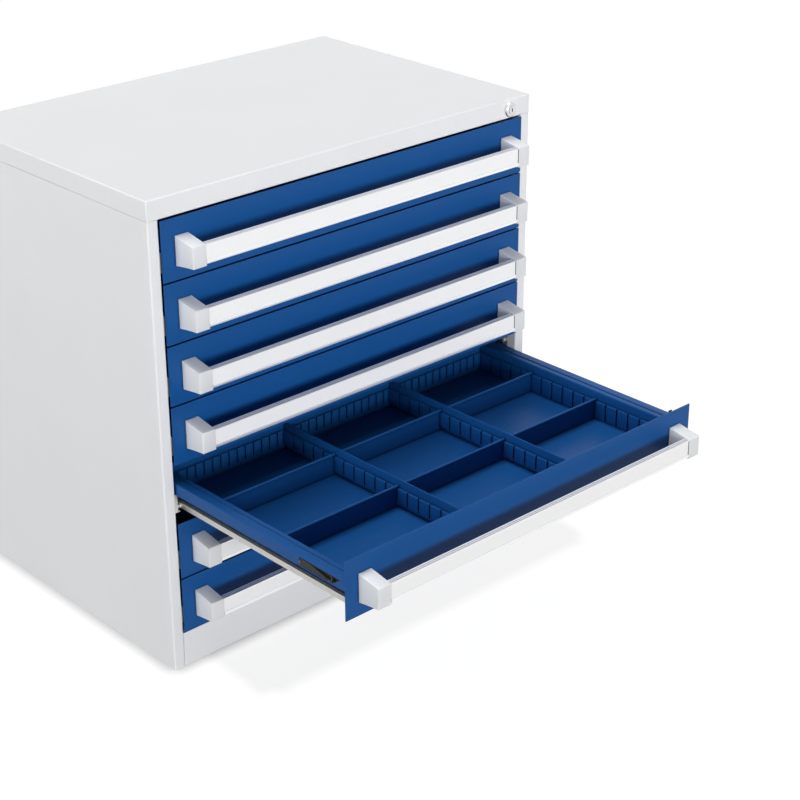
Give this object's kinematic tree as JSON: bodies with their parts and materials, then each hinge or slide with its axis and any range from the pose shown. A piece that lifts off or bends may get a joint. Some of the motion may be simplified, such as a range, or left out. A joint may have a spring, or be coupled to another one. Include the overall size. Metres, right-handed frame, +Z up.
{
  "type": "multi-drawer cabinet",
  "caption": "Floor-standing steel cabinet with a stack of wide shallow drawers on roller slides, bar handles, slotted dividers and one lock for all drawers.",
  "frame": {"origin": "on the floor, under the middle of the cabinet's closed body", "axes": "+Z up, +Y towards the back, so the drawers open towards -Y and +X is the cabinet's right side seen from the front"},
  "size_m": [0.8, 0.978, 0.8],
  "materials": {
    "body_paint": "light grey powder coat, fine texture",
    "drawer_paint": "deep blue powder coat, satin",
    "handle_bar": "pale clear-anodised extrusion, matt",
    "handle_caps": "light grey moulded plastic, satin",
    "galvanised": "galvanised sheet, dull",
    "fittings": "dark moulded plastic",
    "roller_steel": "turned bearing steel, bright",
    "lock_metal": "bright plated, polished"
  },
  "bodies": {
    "cabinet": {"side_panel_left": "body_paint", "side_panel_right": "body_paint", "back_panel": "body_paint", "top_cover": "body_paint", "base_frame": "body_paint", "cabinet_rails": "galvanised", "lock_housing": "lock_metal"},
    "drawer_1": {"drawer_1_front": "drawer_paint", "drawer_1_tray": "drawer_paint", "drawer_1_handle_bar": "handle_bar", "drawer_1_handle_caps": "handle_caps", "drawer_1_rails": "galvanised", "drawer_1_fittings": "fittings"},
    "drawer_2": {"drawer_2_front": "drawer_paint", "drawer_2_tray": "drawer_paint", "drawer_2_handle_bar": "handle_bar", "drawer_2_handle_caps": "handle_caps", "drawer_2_rails": "galvanised", "drawer_2_fittings": "fittings"},
    "drawer_3": {"drawer_3_front": "drawer_paint", "drawer_3_tray": "drawer_paint", "drawer_3_handle_bar": "handle_bar", "drawer_3_handle_caps": "handle_caps", "drawer_3_rails": "galvanised", "drawer_3_fittings": "fittings"},
    "drawer_4": {"drawer_4_front": "drawer_paint", "drawer_4_tray": "drawer_paint", "drawer_4_handle_bar": "handle_bar", "drawer_4_handle_caps": "handle_caps", "drawer_4_rails": "galvanised", "drawer_4_fittings": "fittings"},
    "drawer_5": {"drawer_5_front": "drawer_paint", "drawer_5_tray": "drawer_paint", "drawer_5_handle_bar": "handle_bar", "drawer_5_handle_caps": "handle_caps", "drawer_5_rails": "galvanised", "drawer_5_fittings": "fittings", "drawer_5_partitions": "drawer_paint", "drawer_5_dividers": "drawer_paint"},
    "drawer_6": {"drawer_6_front": "drawer_paint", "drawer_6_tray": "drawer_paint", "drawer_6_handle_bar": "handle_bar", "drawer_6_handle_caps": "handle_caps", "drawer_6_rails": "galvanised", "drawer_6_fittings": "fittings"},
    "drawer_7": {"drawer_7_front": "drawer_paint", "drawer_7_tray": "drawer_paint", "drawer_7_handle_bar": "handle_bar", "drawer_7_handle_caps": "handle_caps", "drawer_7_rails": "galvanised", "drawer_7_fittings": "fittings"},
    "rollers_1": {"drawer_1_rollers": "roller_steel"},
    "rollers_2": {"drawer_2_rollers": "roller_steel"},
    "rollers_3": {"drawer_3_rollers": "roller_steel"},
    "rollers_4": {"drawer_4_rollers": "roller_steel"},
    "rollers_5": {"drawer_5_rollers": "roller_steel"},
    "rollers_6": {"drawer_6_rollers": "roller_steel"},
    "rollers_7": {"drawer_7_rollers": "roller_steel"},
    "lock_plug": {"lock_plug": "lock_metal"},
    "lock_bar": {"lock_bar": "galvanised"}
  },
  "joints": [
    {"name": "drawer_1_slide", "type": "slide", "parent": "cabinet", "child": "drawer_1", "axis": [0, -1, 0], "range_m": [0, 0.397]},
    {"name": "drawer_2_slide", "type": "slide", "parent": "cabinet", "child": "drawer_2", "axis": [0, -1, 0], "range_m": [0, 0.397]},
    {"name": "drawer_3_slide", "type": "slide", "parent": "cabinet", "child": "drawer_3", "axis": [0, -1, 0], "range_m": [0, 0.397]},
    {"name": "drawer_4_slide", "type": "slide", "parent": "cabinet", "child": "drawer_4", "axis": [0, -1, 0], "range_m": [0, 0.397]},
    {"name": "drawer_5_slide", "type": "slide", "parent": "cabinet", "child": "drawer_5", "axis": [0, -1, 0], "range_m": [-0.397, 0]},
    {"name": "drawer_6_slide", "type": "slide", "parent": "cabinet", "child": "drawer_6", "axis": [0, -1, 0], "range_m": [0, 0.397]},
    {"name": "drawer_7_slide", "type": "slide", "parent": "cabinet", "child": "drawer_7", "axis": [0, -1, 0], "range_m": [0, 0.397]},
    {"name": "rollers_1_spin", "type": "hinge", "parent": "cabinet", "child": "rollers_1", "pos_m": [0, -0.2585, 0.69061], "axis": [1, 0, 0], "range_deg": [0, 3792]},
    {"name": "rollers_2_spin", "type": "hinge", "parent": "cabinet", "child": "rollers_2", "pos_m": [0, -0.2585, 0.59003], "axis": [1, 0, 0], "range_deg": [0, 3792]},
    {"name": "rollers_3_spin", "type": "hinge", "parent": "cabinet", "child": "rollers_3", "pos_m": [0, -0.2585, 0.48944], "axis": [1, 0, 0], "range_deg": [0, 3792]},
    {"name": "rollers_4_spin", "type": "hinge", "parent": "cabinet", "child": "rollers_4", "pos_m": [0, -0.2585, 0.38886], "axis": [1, 0, 0], "range_deg": [0, 3792]},
    {"name": "rollers_5_spin", "type": "hinge", "parent": "cabinet", "child": "rollers_5", "pos_m": [0, -0.2585, 0.28827], "axis": [1, 0, 0], "range_deg": [-3792, 0]},
    {"name": "rollers_6_spin", "type": "hinge", "parent": "cabinet", "child": "rollers_6", "pos_m": [0, -0.2585, 0.18769], "axis": [1, 0, 0], "range_deg": [0, 3792]},
    {"name": "rollers_7_spin", "type": "hinge", "parent": "cabinet", "child": "rollers_7", "pos_m": [0, -0.2585, 0.0871], "axis": [1, 0, 0], "range_deg": [0, 3792]},
    {"name": "lock_bar_drop", "type": "slide", "parent": "cabinet", "child": "lock_bar", "axis": [0, 0, -1], "range_m": [0, 0.008]},
    {"name": "lock_turn", "type": "hinge", "parent": "cabinet", "child": "lock_plug", "pos_m": [0.352, -0.2675, 0.7825], "axis": [0, 1, 0], "range_deg": [0, 90]}
  ],
  "couplings": [
    {"joint": "rollers_1_spin", "follows": "drawer_1_slide", "rad_per_m": 166.67},
    {"joint": "rollers_2_spin", "follows": "drawer_2_slide", "rad_per_m": 166.67},
    {"joint": "rollers_3_spin", "follows": "drawer_3_slide", "rad_per_m": 166.67},
    {"joint": "rollers_4_spin", "follows": "drawer_4_slide", "rad_per_m": 166.67},
    {"joint": "rollers_5_spin", "follows": "drawer_5_slide", "rad_per_m": 166.67},
    {"joint": "rollers_6_spin", "follows": "drawer_6_slide", "rad_per_m": 166.67},
    {"joint": "rollers_7_spin", "follows": "drawer_7_slide", "rad_per_m": 166.67},
    {"joint": "lock_turn", "follows": "lock_bar_drop", "rad_per_m": 196.34}
  ]
}
